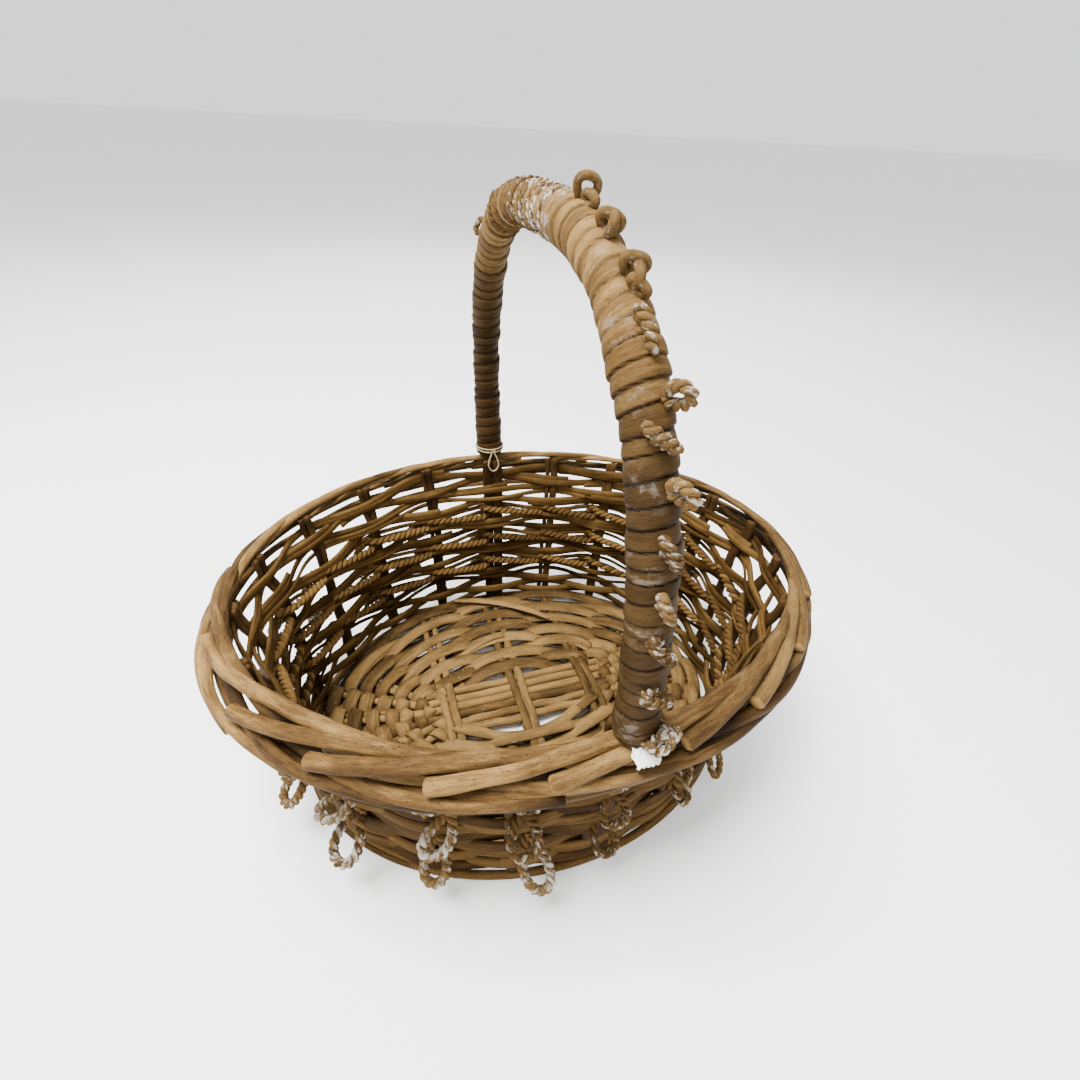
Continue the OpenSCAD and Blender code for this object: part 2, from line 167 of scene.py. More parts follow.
class Bundle:
    """Rods, strips and ropes gathered into one mesh.

    Each vertex keeps `grain`, its place on the rod laid out straight (distance along, then across),
    and `shade`: the rod's own tone, how chalky it is, and how much shade is painted on it (in slits, under
    and beside other parts, and on sides turned from the light), with -1 at a pale cut end."""

    def __init__(self):
        self.points, self.faces, self.grain, self.shade = [], [], [], []
        self.count = 0

    def grid(self, points, grain, shade):
        """Faces over a grid of rings: quads between neighbouring rings, and one face on each open end."""
        rings, sides = points.shape[:2]
        index = np.arange(rings * sides).reshape(rings, sides) + self.count
        near, far = index[:-1], index[1:]
        quads = np.stack((near, np.roll(near, -1, 1), np.roll(far, -1, 1), far), -1).reshape(-1, 4)
        self.faces += quads.tolist()
        self.faces += [index[0, ::-1].tolist(), index[-1].tolist()]
        self.points.append(points.reshape(-1, 3))
        self.grain.append(grain.reshape(-1, 3))
        self.shade.append(shade.reshape(-1, 3))
        self.count += rings * sides

    def rod(self, path, wide, high=None, up=(0, 0, 1), sides=8, square=1.0,
            tone=None, chalk=0.0, painted_shade_and_cut_end=0.0, painted_shade_weights=(0, 0, 0)):
        """A section carried along a path. A ring's points are
        path + wide·sgn(cos φ)|cos φ|^square·side + high·sgn(sin φ)|sin φ|^square·rise,
        where side is square to the heading and `up`. Open ends are drawn in a little and capped.
        The last argument holds three weights of painted shade: on the section's outer side (towards `side`),
        on its two edges where it meets the rods beside it, and on its underside. The argument before it adds
        painted shade along the path."""
        path = np.asarray(path, float)
        count = len(path)
        high = wide if high is None else high
        wide, high, chalk, painted_shade_and_cut_end = (np.broadcast_to(np.asarray(v, float), (count,))
                                   for v in (wide, high, chalk, painted_shade_and_cut_end))
        up = np.broadcast_to(np.asarray(up, float), (count, 3))
        ahead = headings(path)
        pull = 0.3 * np.minimum(wide, high)
        first = path[:1] - ahead[:1] * pull[0]
        last = path[-1:] + ahead[-1:] * pull[-1]
        path = np.vstack((first, path, last))
        ahead, up = (np.vstack((v[:1], v, v[-1:])) for v in (ahead, up))
        wide, high = (np.concatenate(([v[0] * 0.72], v, [v[-1] * 0.72])) for v in (wide, high))
        chalk = np.concatenate((chalk[:1], chalk, chalk[-1:]))
        # -1 on the end rings marks the pale cut ends; values above 0 are painted shade.
        painted_shade_and_cut_end = np.concatenate(([-1.0], painted_shade_and_cut_end, [-1.0]))
        side = unit(np.cross(ahead, up))
        rise = np.cross(side, ahead)
        angle = np.arange(sides) * TURN / sides + math.pi / sides
        across = np.sign(np.cos(angle)) * np.abs(np.cos(angle)) ** square
        above = np.sign(np.sin(angle)) * np.abs(np.sin(angle)) ** square
        points = (path[:, None] + (wide[:, None] * across)[..., None] * side[:, None]
                  + (high[:, None] * above)[..., None] * rise[:, None])
        tone = dice.uniform() if tone is None else tone
        along = np.broadcast_to(lengths(path)[:, None] + 3.1 * tone, points.shape[:2])
        grain = np.stack((along, wide[:, None] * across + tone, high[:, None] * above), -1)
        # Painted shade on the outer side, on the two edges where rods touch, and on the underside.
        painted_side_shade = (painted_shade_weights[0] * np.maximum(across, 0) + painted_shade_weights[1] * np.abs(above) ** 4
                + painted_shade_weights[2] * np.maximum(-above, 0))
        shade = np.stack(np.broadcast_arrays(tone, chalk[:, None], painted_shade_and_cut_end[:, None] + painted_side_shade), -1)
        self.grid(points, grain, shade)

    def rope(self, path, up, radius, pitch, plies=2, sides=6, tone=None, chalk=0.0, begin=0.0):
        """Twisted rope: ply k runs at path + 0.5·radius·(cos ψ·side + sin ψ·rise), where
        ψ = begin + 2π·s/pitch + 2πk/plies and s is the distance along the path."""
        path, up, chalk = even(path, pitch / 11, np.broadcast_to(np.asarray(up, float), path.shape),
                               np.broadcast_to(np.asarray(chalk, float), (len(path),))[:, None])
        ahead = headings(path)
        side = unit(np.cross(ahead, up))
        rise = np.cross(side, ahead)
        turn = lengths(path)[:, None] / pitch * TURN + begin
        tone = dice.uniform() if tone is None else tone
        for k in range(plies):
            psi = turn + k * TURN / plies
            ply = path + 0.5 * radius * (np.cos(psi) * side + np.sin(psi) * rise)
            self.rod(ply, radius * 0.56, up=up, sides=sides, tone=(tone + 0.13 * k) % 1, chalk=chalk[:, 0])

    def piece(self, name, finish, slot, *nodes):
        """Makes the mesh object, gives it its finish, and lets it stand for CAD nodes on the body."""
        mesh = bpy.data.meshes.new(name)
        mesh.from_pydata(np.concatenate(self.points).tolist(), [], self.faces)
        for key, rows in (("grain", self.grain), ("shade", self.shade)):
            layer = mesh.attributes.new(key, "FLOAT_VECTOR", "POINT")
            layer.data.foreach_set("vector", np.concatenate(rows).astype(np.float32).ravel())
        mesh.polygons.foreach_set("use_smooth", [True] * len(mesh.polygons))
        mesh.materials.append(finish)
        mesh.validate()
        thing = bpy.data.objects.new(name, mesh)
        bpy.context.scene.collection.objects.link(thing)
        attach(thing, "root")
        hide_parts(*nodes)
        return thing


# ---- finishes -----------------------------------------------------------------------------------

class Wire:
    """An output socket; arithmetic on it adds Math nodes."""

    def __init__(self, finish, socket):
        self.finish, self.socket = finish, socket

    def maths(self, how, *values):
        return self.finish.node("ShaderNodeMath", {"operation": how}, dict(enumerate(values)))

    def __add__(self, other):
        return self.maths("ADD", self, other)

    def __sub__(self, other):
        return self.maths("SUBTRACT", self, other)

    def __rsub__(self, other):
        return self.maths("SUBTRACT", other, self)

    def __mul__(self, other):
        return self.maths("MULTIPLY", self, other)

    __radd__ = __add__
    __rmul__ = __mul__

    def step(self, low, high):
        """Smooth step of this value from 0 at `low` to 1 at `high`."""
        return self.finish.node("ShaderNodeMapRange", {"interpolation_type": "SMOOTHSTEP"},
                                {"Value": self, "From Min": low, "From Max": high})


class Finish:
    """A material with one Principled shader, and short names for the nodes that these finishes use."""

    def __init__(self, name):
        self.material = bpy.data.materials.new(name)
        self.material.use_nodes = True
        self.tree = self.material.node_tree
        self.tree.nodes.clear()

    def node(self, kind, settings=None, sockets=None, out=0):
        """Any node: settings are set first, a ramp's stops among them, then values or links of sockets."""
        made = self.tree.nodes.new(kind)
        for key, value in (settings or {}).items():
            if key == "stops":
                ramp = made.color_ramp.elements
                for spot, colour in value[1:-1]:
                    ramp.new(spot)
                for element, (spot, colour) in zip(ramp, value):
                    element.position = spot
                    element.color = (*colour, 1)
            else:
                setattr(made, key, value)
        for key, value in (sockets or {}).items():
            if isinstance(value, Wire):
                self.tree.links.new(value.socket, made.inputs[key])
            elif isinstance(value, tuple) and len(value) == 3 and made.inputs[key].type == "RGBA":
                made.inputs[key].default_value = (*value, 1)
            else:
                made.inputs[key].default_value = value
        return Wire(self, made.outputs[out]) if made.outputs else None

    def attribute(self, name):
        return self.node("ShaderNodeAttribute", {"attribute_name": name}, out=1)

    def parts(self, vector):
        """The three components of a vector."""
        return [self.node("ShaderNodeSeparateXYZ", None, {0: vector}, out=k) for k in range(3)]

    def stretched(self, vector, scale):
        return self.node("ShaderNodeVectorMath", {"operation": "MULTIPLY"}, {0: vector, 1: scale})

    def noise(self, vector, scale=1.0, detail=3.0, rough=0.55):
        return self.node("ShaderNodeTexNoise", None,
                         {"Vector": vector, "Scale": scale, "Detail": detail, "Roughness": rough})

    def blend(self, share, one, two):
        """Colour `one` going to `two` as share goes from 0 to 1."""
        return self.node("ShaderNodeMix", {"data_type": "RGBA"},
                         {0: share, 6: one, 7: two}, out=2)

    def close(self, colour, rough, height, depth, **constants):
        """Principled shader with a bump of `depth` metres from `height`."""
        bump = self.node("ShaderNodeBump", None, {"Height": height, "Distance": depth, "Strength": 1.0})
        shader = self.node("ShaderNodeBsdfPrincipled", None,
                           {"Base Color": colour, "Roughness": rough, "Normal": bump,
                            **{key.replace("_", " "): value for key, value in constants.items()}})
        self.node("ShaderNodeOutputMaterial", None, {0: shader})
        return self.material


def willow_finish(name, light, mid, dark, polish=0.5, sheen=0.05, specks=0.0):
    """Aged willow under a thin bronze glaze: streaks along the rod, blotches where the glaze is thick,
    paler rubbed patches, painted shade in slits, under other parts and on sides turned from the light, and
    pale cut ends, each rod in its own tone."""
    f = Finish(name)
    grain = f.attribute("grain")
    tone, chalk, painted_shade_and_cut_end = f.parts(f.attribute("shade"))
    streak = f.noise(f.stretched(grain, (60, 480, 480)), 1.0, 4.0, 0.6)
    fibre = f.noise(f.stretched(grain, (220, 3200, 3200)), 1.0, 3.0, 0.6)
    blotch = f.noise(f.stretched(grain, (55, 90, 90)), 1.0, 3.0)
    rubbed = f.noise(f.stretched(grain, (34, 130, 130)), 1.0, 2.0).step(0.3, 0.75)
    pores = f.noise(f.stretched(grain, (420, 1500, 1500)), 1.0, 2.0).step(0.58, 0.74)
    lightness = 0.5 * tone + 0.6 * streak + 0.5 * fibre + 0.26 * rubbed - 0.22 * pores - 0.34
    stops = [(0.12, dark), (0.46, mid), (0.84, light)]
    colour = f.node("ShaderNodeValToRGB", {"stops": stops}, {0: lightness})
    colour = f.blend(blotch.step(0.5, 0.75) * 0.5, colour, mid)
    # Painted shade: the colour goes towards the dark stop where the shade channel is above 0.
    colour = f.blend(painted_shade_and_cut_end.step(0.0, 1.0), colour, tuple(0.7 * c for c in dark))
    colour = f.blend((0 - painted_shade_and_cut_end).step(0.4, 1.0) * 0.7, colour, tuple(0.9 * c for c in light))
    pale = f.noise(f.stretched(grain, (90, 150, 150)), 1.0, 5.0, 0.7)
    colour = f.blend(pale.step(0.5, 0.62) * chalk, colour, (0.33, 0.3, 0.25))
    if specks:
        spots = f.noise(f.stretched(grain, (260, 340, 340)), 1.0, 2.0).step(0.66, 0.74)
        colour = f.blend(spots * specks, colour, (0.13, 0.145, 0.1))
    rough = polish + 0.22 * streak - 0.08 * rubbed
    height = streak * 0.6 + fibre * 0.5 - pores * 0.3
    return f.close(colour, rough, height, 0.45 * MM, Specular_IOR_Level=sheen)


def rope_finish(name, light, dark, chalk_colour=(0.36, 0.325, 0.28)):
    """Twisted cord: fine yarns across the ply, brown in the valleys, with chalky white worn patches."""
    f = Finish(name)
    grain = f.attribute("grain")
    tone, chalk, painted_shade_and_cut_end = f.parts(f.attribute("shade"))
    yarn = f.noise(f.stretched(grain, (500, 2600, 2600)), 1.0, 3.0, 0.7)
    patch = f.noise(f.stretched(grain, (260, 320, 320)), 1.0, 4.0, 0.65)
    colour = f.blend((0.35 * tone + 0.95 * yarn - 0.2).step(0.1, 0.75), dark, light)
    worn = patch.step(0.6 - 0.2 * chalk, 0.74 - 0.2 * chalk) * chalk.step(0.0, 0.3)
    colour = f.blend(worn, colour, chalk_colour)
    return f.close(colour, 0.75 + 0.15 * yarn, yarn, 0.5 * MM, Specular_IOR_Level=0.04)


finishes = {
    "border_rod": willow_finish("golden_rod", (0.26, 0.152, 0.05), (0.08, 0.042, 0.0118),
                                (0.016, 0.0075, 0.0021), 0.5, 0.06),
    "weaver": willow_finish("split_weaver", (0.13, 0.072, 0.021), (0.05, 0.0255, 0.007),
                            (0.012, 0.0055, 0.0017), 0.6, 0.02),
    "stake": willow_finish("dark_stake", (0.055, 0.028, 0.008), (0.026, 0.0125, 0.0036),
                           (0.008, 0.0038, 0.0012), 0.56),
    "floor_stick": willow_finish("floor_stick", (0.185, 0.108, 0.035), (0.08, 0.0445, 0.0132),
                                 (0.02, 0.01, 0.003), 0.56, specks=0.5),
    "floor_strip": willow_finish("floor_strip", (0.185, 0.108, 0.0345), (0.078, 0.043, 0.0128),
                                 (0.02, 0.01, 0.003), 0.54, specks=0.5),
    "willow_rod": willow_finish("foot_rod", (0.11, 0.061, 0.018), (0.05, 0.026, 0.0072),
                                (0.015, 0.0072, 0.0022), 0.56),
    "handle_cane": willow_finish("binding_cane", (0.22, 0.13, 0.042), (0.085, 0.046, 0.0132),
                                 (0.018, 0.0084, 0.0024), 0.5, 0.05),
    "wall_rope": rope_finish("wall_rope", (0.14, 0.076, 0.0215), (0.02, 0.0093, 0.0028)),
    "loop_rope": rope_finish("loop_rope", (0.15, 0.086, 0.029), (0.02, 0.01, 0.0033)),
    "pale_string": rope_finish("pale_string", (0.46, 0.35, 0.2), (0.2, 0.14, 0.07)),
}


# ---- camera and cord ----------------------------------------------------------------------------

def aim_camera():
    """The camera stands in front of the basket, a little to its left, and looks down into it."""
    turn, dip, roll = (math.radians(v) for v in (-19.62, 36.35, 3.31))
    half = on_line(long_ends, RIM_Z) + RIM_INSET
    eye = Vector((-0.514, -1.585, 2.181)) * half
    back = Vector((math.sin(turn) * math.cos(dip), -math.cos(turn) * math.cos(dip), math.sin(dip)))
    level = Vector((0, 0, 1)).cross(back).normalized()
    upright = back.cross(level)
    right = level * math.cos(roll) + upright * math.sin(roll)
    lens = bpy.data.cameras.new("camera")
    lens.lens, lens.sensor_width, lens.clip_start = 18.72, 36, 0.01
    camera = bpy.data.objects.new("camera", lens)
    camera.matrix_world = Matrix((right, back.cross(right), back)).transposed().to_4x4()
    camera.matrix_world.translation = eye
    bpy.context.scene.collection.objects.link(camera)
    bpy.context.scene.camera = camera


# Half of the hanging string, from the knot down to its lowest point: sideways, forwards, down, in mm.
STRING_HALF = ((0.7, 0, 0), (1.6, 0.8, 2.4), (2.8, 1.4, 5), (3.7, 1.9, 7.8), (4, 2.2, 10.6), (3.2, 2.4, 13.2),
               (1.8, 2.5, 15))


def hanging_string():
    """A loop of thin string that hangs from the knot on the far leg, inside the basket."""
    knot = np.array((LEG_X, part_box("hanging_string")[1].y - 0.5 * MM, middle("string_wrap", 2)))
    down = [(-x, -y, -z) for x, y, z in STRING_HALF]
    again = [(x, -y, -z) for x, y, z in STRING_HALF[::-1]]
    route = knot + np.array(down + [(0, -2.5, -15.7)] + again) * MM
    string = Bundle()
    path = curve(route, 90)
    string.rod(path, 0.5 * MM, up=(0, 1, 0), sides=8, chalk=0.3)
    loop = string.piece("string_loop", finishes["pale_string"], "pale_string", "hanging_string")
    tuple(path[0])
    float(lengths(path)[-1])


def string_on_leg():
    """The same string tied twice round the far leg, with a small knot at the front."""
    tie = Bundle()
    radius = (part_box("string_wrap")[1].y - LEG_Y) - 0.5 * MM
    a = np.linspace(0, 2.15 * TURN, 190)
    path = np.stack((LEG_X + radius * np.cos(a), LEG_Y + radius * np.sin(a),
                     middle("string_wrap", 2) + 1.3 * MM * np.sin(a / 2.15 - 0.6)), -1)
    tie.rod(path, 0.5 * MM, sides=6, chalk=0.3)
    a = np.linspace(0, 2 * TURN, 70)
    knot = np.stack((1.6 * np.cos(a), 0.9 * np.sin(2 * a) - 1.2, 1.5 * np.sin(a + 0.5)), -1) * MM
    knot = knot + (LEG_X, LEG_Y - radius, middle("string_wrap", 2))
    tie.rod(knot, 0.5 * MM, up=(0, 1, 0), sides=6, chalk=0.3)
    tie.piece("string_on_leg", finishes["pale_string"], "pale_string", "string_wrap")


# ---- floor --------------------------------------------------------------------------------------

STICK_Z = middle("base_cross_sticks", 2)
STICK_R = (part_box("base_cross_sticks")[1].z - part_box("base_cross_sticks")[0].z) / 2
LONG_R = (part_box("base_long_sticks")[1].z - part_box("base_long_sticks")[0].z) / 2
strip_edges = [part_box(f"base_strip_row_{k}")[1] - Vector((1, 1, 0)) * FLOOR_STRIP / 2 for k in (1, 6)]
SHARES = (0.5 / 6, 5.5 / 6)
PAIR_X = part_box("base_cross_sticks")[1].x - STICK_R - 5.5 * MM
LONG_PITCH = 7 * MM


def floor_oval(share):
    """Half axes of the floor's oval: share 0 is the edge of the middle sticks, and 1 the wall."""
    return [np.interp(share, SHARES, [edge[k] for edge in strip_edges]) if SHARES[0] < share < SHARES[1]
            else strip_edges[0][k] + (share - SHARES[0]) * (strip_edges[1][k] - strip_edges[0][k])
            / (SHARES[1] - SHARES[0]) for k in (0, 1)]


FLOOR_A, FLOOR_B = floor_oval(1)
MIDDLE_A = floor_oval(0)[0]


def long_stick(offset, x):
    """Sideways place of a long stick at x: straight in the middle, then spreading towards the wall."""
    reach = np.clip((np.abs(x) - MIDDLE_A) / (FLOOR_A - MIDDLE_A), 0, 1)
    return offset * (1 + 3.4 * reach ** 1.3)


def floor_sticks():
    """Three pairs of split cross sticks with the long sticks running through their slots."""
    cross = Bundle()
    slot = 3.2 * LONG_PITCH
    apart = 3.2 * MM
    for x in (-PAIR_X - apart, -PAIR_X + apart, -3.0 * MM, 3.4 * MM, PAIR_X - apart, PAIR_X + apart):
        half = FLOOR_B * math.sqrt(1 - (x / FLOOR_A) ** 2) - 2 * MM
        y = np.linspace(-half, half, 70)
        inside = 1 - smooth((np.abs(y) - slot + 3 * MM) / (9 * MM))
        lean = dice.normal() * 0.012
        bend = wander(y * 18, 0.35 * MM)
        thin = 1 - 0.28 * smooth((np.abs(y) / half - 0.3) / 0.7)
        radius = STICK_R * dice.uniform(0.95, 1.06)
        for level in (-1, 1):
            lift = level * ((radius * 0.46 * thin) * (1 - inside) + (LONG_R + 1.1 * MM) * inside)
            path = np.stack((x + lean * y + bend, y, STICK_Z + lift), -1)
            # Painted shade on the underside of each half stick.
            cross.rod(path, 0.7 * radius * thin, radius * (0.54 * thin - 0.16 * inside), sides=10,
                      square=0.85, painted_shade_weights=(0, 0, 0.5))
    cross.piece("cross_sticks", finishes["floor_stick"], "floor_stick", "base_cross_sticks")
    along = Bundle()
    for k in range(6):
        offset = (k - 2.5) * LONG_PITCH
        end = FLOOR_A * math.sqrt(1 - min(0.95, abs(offset) * 4.4 / FLOOR_B) ** 2) * 0.985
        x = np.linspace(-end, end, 110)
        y = long_stick(offset, x) + wander(x * 20, 0.5 * MM)
        z = STICK_Z + wander(x * 14, 0.3 * MM)
        radius = 3.2 * MM * (1 - 0.25 * smooth(np.abs(x) / end * 1.5 - 0.5))
        along.rod(np.stack((x, y, z + 0 * x), -1), radius, sides=10)
        for side in (-1, 1):
            x2 = side * np.linspace(MIDDLE_A * 1.02, end * 0.99, 40)
            beside = math.copysign(2.6 * MM, offset) * smooth((np.abs(x2) - MIDDLE_A) / 0.03) * 2
            y2 = long_stick(offset, x2) + beside
            along.rod(np.stack((x2, y2, STICK_Z - 0.6 * MM + 0 * x2), -1), LONG_R * 0.8, sides=8)
    along.piece("long_sticks", finishes["floor_stick"], "floor_stick", "base_long_sticks")


def spoke_angles(a, b):
    """Angles at which a floor row with half axes a and b crosses the sticks, in order round the oval."""
    cross = [math.acos(x / a) for x in (-PAIR_X, 0.5 * MM, PAIR_X)]
    angles = cross + [-v for v in cross]
    for k in range(6):
        offset = (k - 2.5) * LONG_PITCH
        angle = 0.0
        for _ in range(4):
            angle = math.asin(max(-0.97, min(0.97, long_stick(offset, a * math.cos(angle)) / b)))
        angles += [angle, math.pi - angle]
    return np.sort(np.array(angles) % TURN)


def floor_row(share, phase):
    """Flat strips that go over one stick and under the next; each strip ends under a stick."""
    a, b = floor_oval(share)
    spokes = spoke_angles(a, b)
    laps = np.concatenate((spokes - TURN, spokes, spokes + TURN))
    counts = np.arange(len(laps)) + phase
    begin = dice.uniform(0, TURN)
    drift = [dice.normal(size=4), dice.uniform(0, TURN, 4)]
    for part in range(2):
        angle = begin + math.pi * part + np.linspace(-0.22, math.pi + 0.22, 170)
        t = angle % TURN
        beat = np.cos(math.pi * np.interp(t, laps, counts))
        lap = smooth(1 - (angle - angle[0]) / 0.5) - smooth(1 - (angle[-1] - angle) / 0.5)
        z = STICK_Z + (STICK_R * 0.85 + 0.6 * MM) * np.sign(beat) * np.abs(beat) ** 0.7 + 1.2 * MM * lap
        sway = sum(n * np.sin((k + 2) * t + p) for k, (n, p) in enumerate(zip(*drift))) * 0.75 * MM
        sway = sway + 1.4 * MM * lap
        path = np.stack(((a + sway) * np.cos(t), (b + sway) * np.sin(t), z), -1)
        width = FLOOR_STRIP * dice.uniform(0.6, 0.74) * (1 - 0.35 * np.abs(lap))
        tilt = unit(np.stack((-0.15 * np.cos(t), -0.15 * np.sin(t), np.ones_like(t)), -1))
        # The last value is painted shade where the strip passes under a stick.
        yield path, width, 0.95 * MM, tilt, 0.5 * smooth(-beat)


def floor_rows():
    """Two woven rows for each CAD row."""
    for node in range(1, 7):
        strips = Bundle()
        for number in (2 * node - 2, 2 * node - 1):
            for path, width, thick, up, painted_shade_and_cut_end in floor_row(0.02 + 0.97 * number / 11, number % 2):
                # Painted shade along each strip's outer edge and where it passes under a stick.
                strips.rod(path, width, thick, up=up, sides=10, square=0.7, painted_shade_and_cut_end=painted_shade_and_cut_end, painted_shade_weights=(0.55, 0, 0))
        strips.piece(f"floor_strips_{node}", finishes["floor_strip"], "floor_strip",
                     f"base_strip_row_{node}")


def loose_strip():
    """A strip that has come out of the weave and lies on the floor."""
    loose = Bundle()
    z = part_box("loose_base_strip")[0].z
    path = curve([(-0.030, 0.108, z + 3 * MM), (-0.008, 0.104, z + 1.5 * MM), (0.014, 0.094, z + 1.2 * MM),
                  (0.032, 0.080, z + 1.8 * MM), (0.044, 0.066, z + 3 * MM)], 60)
    share = np.linspace(0, 1, 60)
    width = 3.6 * MM * (0.35 + 0.65 * np.sin(math.pi * share) ** 0.6)
    loose.rod(path, width, 0.7 * MM, sides=8, square=0.7, tone=0.9)
    loose.piece("loose_strip", finishes["floor_strip"], "floor_strip", "loose_base_strip")


def foot_ring():
    """Two rods laid round the foot and lapped over each other."""
    ring = Bundle()
    low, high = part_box("foot_ring")
    radius = (high.z - low.z) / 2
    out = high.x - radius - on_line(long_ends, low.z + radius)
    for start, span, shift in ((0.4, 3.7, 0.0), (3.6, 3.6, 0.0), (1.9, 2.2, 2.4)):
        place = start + np.linspace(0, span, 260)
        lap = smooth(1 - (place - place[0]) / 0.4)
        reach = out + (-1.6 * lap + 0.4) * MM - shift * MM
        path = on_wall(place, low.z + radius + (0.9 * lap + shift * 0.8) * MM, reach)
        ring.rod(path, radius * (1 - 0.25 * lap) * 0.94, sides=10)
    ring.piece("foot_rods", finishes["willow_rod"], "willow_rod", "foot_ring")


# ---- wall ---------------------------------------------------------------------------------------

def stakes():
    """Upright rods, slightly bent, each with a thinner one pushed in beside it."""
    uprights = Bundle()
    low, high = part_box("stakes")
    for k in range(STAKES):
        if k % (STAKES // 2) == STAKES // 4:
            continue
        z = np.linspace(low.z, high.z, 40)
        facing = outwards(np.array([k * TURN / STAKES]))[0]
        for radius, beside in ((STAKE_R, -1.0), (STAKE_R * 0.66, 3.4)):
            shift = (beside + dice.normal() * 0.4) * MM / WALL_REACH
            place = k * TURN / STAKES + shift + wander(z * 30, 0.004)
            path = on_wall(place, z, wander(z * 25, 0.3 * MM) + lean_out(z))
            uprights.rod(path, radius * dice.uniform(0.92, 1.05), radius * 0.9, up=facing, sides=10)
    uprights.piece("stake_rods", finishes["stake"], "stake", "stakes")


def nearness(place):
    """1 on the wall's near left side, where the rows are broad and close, and 0 on the far side."""
    return smooth(1.6 * np.cos(place - math.radians(243)))


def weaver(rows, place, side, z, girth=1.0, tone=None):
    """A split rod round part of the wall: out = side·swing·cos(10·place), thinner towards its tip."""
    share = np.linspace(0, 1, len(place))
    swing = (STAKE_R + 1.7 * MM) * np.cos(STAKES / 2 * place)
    flat = np.abs(np.cos(STAKES / 2 * place)) ** 0.6
    near = nearness(place)
    path = on_wall(place, z, side * swing * (1 - 0.5 * near) + lean_out(z))
    taper = 1 - (0.36 - 0.26 * near) * share ** 1.4
    high = girth * (3.5 + 2.6 * near) * MM * taper * (0.9 + 0.12 * flat)
    wide = girth * (1.5 - 0.3 * near) * MM * (1 - 0.25 * share)
    # Painted shade on the outer face of the wall, which stands in shade, and on the upper and lower edges
    # where rows meet.
    rows.rod(path, wide, high, sides=8, square=0.8, tone=tone, painted_shade_weights=(0.42, 0.4, 0))


PACKED = 5.6 * MM           # height that each rod takes up where the rows are pressed close


def packing(k):
    """Heights of the extra rods that close the gap above row k on the near side."""
    above = row_z[k] if k < ROWS else row_z[-1] + 6 * MM
    count = int(round((above - row_z[k - 1]) / PACKED)) - 1
    return [row_z[k - 1] + (above - row_z[k - 1]) * (i + 1) / (count + 1) for i in range(count)]


def wall_row(k):
    """Rods that lap each other: each starts high and ends low. On the near side, extra rods close the gap
    above the row."""
    rows = Bundle()
    side = 1 if k % 2 == 0 else -1
    begin = dice.uniform(0, TURN)
    waves, phases = dice.normal(size=5), dice.uniform(0, TURN, 5)
    for part in range(5):
        span = math.radians(dice.uniform(112, 148))
        place = begin + part * TURN / 5 + np.linspace(0, span, int(span / 0.0125))
        share = (place - place[0]) / span
        drift = sum(w * np.sin(n * place + p) for w, n, p in zip(waves, (2, 3, 5, 7, 11), phases)) * 0.55 * MM
        calm = 1 - 0.55 * nearness(place)
        lap = 2.6 * MM * calm * (smooth(1 - share / 0.36) - smooth((share - 0.62) / 0.34))
        rise = wander(share * 2, 0.5 * MM)
        weaver(rows, place, side, row_z[k - 1] + drift * calm + lap + rise * calm, dice.uniform(0.86, 1.06))
    for level in packing(k):
        start = math.radians(dice.uniform(180, 200))
        for first, span, girth in ((start, 115, 1.0), (start + 1.9, 125, 0.62), (start + 4.0, 130, 0.62)):
            place = first + np.linspace(0, math.radians(span), 170)
            weaver(rows, place, -side, level + wander(place * 2, 0.6 * MM), girth)
    rows.piece(f"weavers_{k}", finishes["weaver"], "weaver", f"wall_row_{k}")


def rope_course(k):
    """Rope laid inside each stake, from just past the stake before it to a quarter step past this one,
    rising 7.7 mm on the way."""
    ropes = Bundle()
    share = np.linspace(-0.1, 1.1, 60)
    for i in range(STAKES):
        place = (i - 0.85 + share) * TURN / STAKES
        out = -1.5 * MM - (STAKE_R + 2.0 * MM) * np.sin(math.pi * np.clip(share, 0, 1)) ** 0.4
        out = out + 3 * MM * (smooth((share - 0.98) / 0.12) + smooth((0.02 - share) / 0.12))
        z = rope_z[k - 1] + (6.4 * (share - 0.5) + dice.normal() * 0.5) * MM
        ropes.rope(on_wall(place, z, out), (0, 0, 1), 2.9 * MM, 9.0 * MM, chalk=0.08 * dice.uniform())
    ropes.piece(f"rope_course_{k}_cord", finishes["wall_rope"], "wall_rope", f"rope_course_{k}")


def hanging_loop(ropes, place, z, depth, width, tilt, chalk, radius=2.85 * MM):
    """The rope comes out through the wall, hangs as a loop and goes back in:
    down = depth·(1 − cos φ)/2 along a line tilted out of the wall, across = width/2·sin φ."""
    phi = np.linspace(0, TURN, 70)
    away = outwards(place)
    across = np.cross((0, 0, 1), away)
    fall = math.sin(tilt) * away - math.cos(tilt) * np.array((0, 0, 1))
    skew = dice.normal() * 0.22
    down = depth * (1 - np.cos(phi)) / 2
    swing = width / 2 * np.sin(phi) * (0.5 + 0.62 * np.sin(phi / 2) ** 2) + skew * down
    start = on_wall(place, z, 0.6 * MM) + 2.4 * MM * np.outer(1 - phi / math.pi, (0, 0, 1))
    bow = 2.2 * MM * np.outer(np.sin(phi / 2), away)
    path = start + bow + np.outer(down, fall) + np.outer(swing, across)
    chalk = chalk * smooth((down / depth - 0.15) / 0.3)
    ropes.rope(path, np.cross(fall, across), radius, 7.6 * MM, chalk=chalk, begin=dice.uniform(0, TURN))


